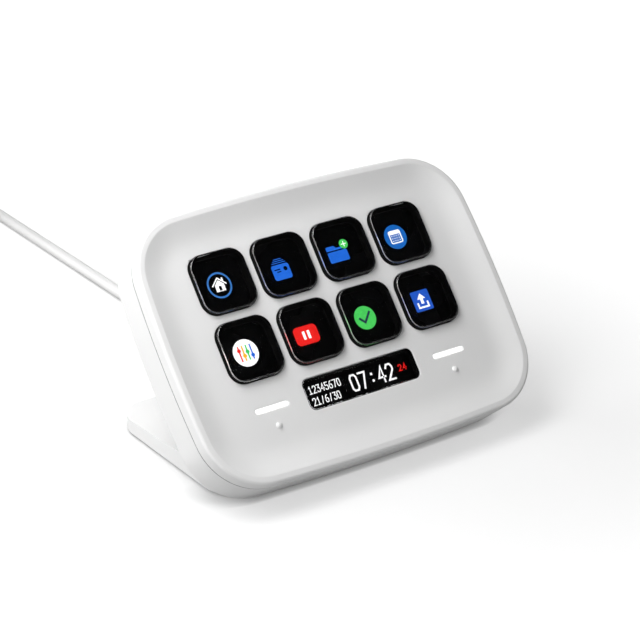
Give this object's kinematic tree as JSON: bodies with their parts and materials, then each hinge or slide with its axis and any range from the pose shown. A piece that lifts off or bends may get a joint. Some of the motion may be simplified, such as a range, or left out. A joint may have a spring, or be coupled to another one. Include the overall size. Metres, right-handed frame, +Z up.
{
  "type": "display keypad",
  "caption": "Desk keypad of clear display keys in a dished white housing on a wedge stand, with an info strip, two light bars and a coiled USB lead.",
  "frame": {"origin": "on the desk, under the middle of the keypad without its lead", "axes": "+X to the right along the key rows, +Y to the back, +Z up; the face leans back by 40 degrees from upright"},
  "size_m": [0.1079, 0.2872, 0.0676],
  "materials": {
    "white_plastic": "satin moulded plastic with a very fine texture",
    "clear_plastic": "clear polished plastic",
    "dark_window": "smoked polished plastic",
    "light_guide": "milky light guide, lit from behind",
    "grey_rubber": "matt silicone rubber",
    "dark_rubber": "matt silicone rubber",
    "board_green": "glass fibre board with solder mask",
    "flex_amber": "polyimide film",
    "led_white": "white and phosphor yellow",
    "copper_pad": "tinned copper spring pad",
    "display_glass": "black bonded display glass",
    "tray_metal": "thin pressed tray",
    "frame_plastic": "dark moulded plastic",
    "screw_steel": "zinc plated",
    "chip_black": "black epoxy",
    "socket_ivory": "ivory nylon",
    "lead_jacket": "smooth white jacket",
    "tie_fabric": "woven hook and loop strip",
    "plug_metal": "nickel plated steel"
  },
  "bodies": {
    "housing": {"front_cover": "white_plastic", "rear_shell": "white_plastic", "stand": "white_plastic", "stand_pads": "grey_rubber", "key_membrane": "dark_rubber", "switch_board": "board_green", "switch_flex": "flex_amber", "bar_leds": "led_white", "light_bar_left": "light_guide", "light_bar_right": "light_guide", "touch_pad_left": "copper_pad", "touch_pad_right": "copper_pad", "info_window": "dark_window", "lcd_glass": "display_glass", "lcd_backlight": "tray_metal", "lcd_flex": "flex_amber", "mid_frame": "frame_plastic", "frame_screws": "screw_steel", "main_board": "board_green", "microcontroller": "chip_black", "board_parts": "chip_black", "flex_sockets": "socket_ivory", "cable_socket": "socket_ivory", "board_screws": "screw_steel", "cover_screws": "screw_steel", "stand_screws": "screw_steel", "strain_relief": "white_plastic", "inner_lead": "lead_jacket", "cable": "lead_jacket", "cable_coil": "lead_jacket", "cable_tail": "lead_jacket", "cable_tie": "tie_fabric", "plug_grip": "white_plastic", "plug_shell": "plug_metal"},
    "key_1": {"key_cap_1": "clear_plastic"},
    "key_2": {"key_cap_2": "clear_plastic"},
    "key_3": {"key_cap_3": "clear_plastic"},
    "key_4": {"key_cap_4": "clear_plastic"},
    "key_5": {"key_cap_5": "clear_plastic"},
    "key_6": {"key_cap_6": "clear_plastic"},
    "key_7": {"key_cap_7": "clear_plastic"},
    "key_8": {"key_cap_8": "clear_plastic"}
  },
  "joints": [
    {"name": "press_1", "type": "slide", "parent": "housing", "child": "key_1", "axis": [0, 0.766, -0.6428], "range_m": [0, 0.0008], "stiffness_N_per_m": 600, "springref_m": -0.0005, "deforming": ["key_membrane"]},
    {"name": "press_2", "type": "slide", "parent": "housing", "child": "key_2", "axis": [0, 0.766, -0.6428], "range_m": [0, 0.0008], "stiffness_N_per_m": 600, "springref_m": -0.0005, "deforming": ["key_membrane"]},
    {"name": "press_3", "type": "slide", "parent": "housing", "child": "key_3", "axis": [0, 0.766, -0.6428], "range_m": [0, 0.0008], "stiffness_N_per_m": 600, "springref_m": -0.0005, "deforming": ["key_membrane"]},
    {"name": "press_4", "type": "slide", "parent": "housing", "child": "key_4", "axis": [0, 0.766, -0.6428], "range_m": [0, 0.0008], "stiffness_N_per_m": 600, "springref_m": -0.0005, "deforming": ["key_membrane"]},
    {"name": "press_5", "type": "slide", "parent": "housing", "child": "key_5", "axis": [0, 0.766, -0.6428], "range_m": [0, 0.0008], "stiffness_N_per_m": 600, "springref_m": -0.0005, "deforming": ["key_membrane"]},
    {"name": "press_6", "type": "slide", "parent": "housing", "child": "key_6", "axis": [0, 0.766, -0.6428], "range_m": [0, 0.0008], "stiffness_N_per_m": 600, "springref_m": -0.0005, "deforming": ["key_membrane"]},
    {"name": "press_7", "type": "slide", "parent": "housing", "child": "key_7", "axis": [0, 0.766, -0.6428], "range_m": [0, 0.0008], "stiffness_N_per_m": 600, "springref_m": -0.0005, "deforming": ["key_membrane"]},
    {"name": "press_8", "type": "slide", "parent": "housing", "child": "key_8", "axis": [0, 0.766, -0.6428], "range_m": [0, 0.0008], "stiffness_N_per_m": 600, "springref_m": -0.0005, "deforming": ["key_membrane"]}
  ]
}
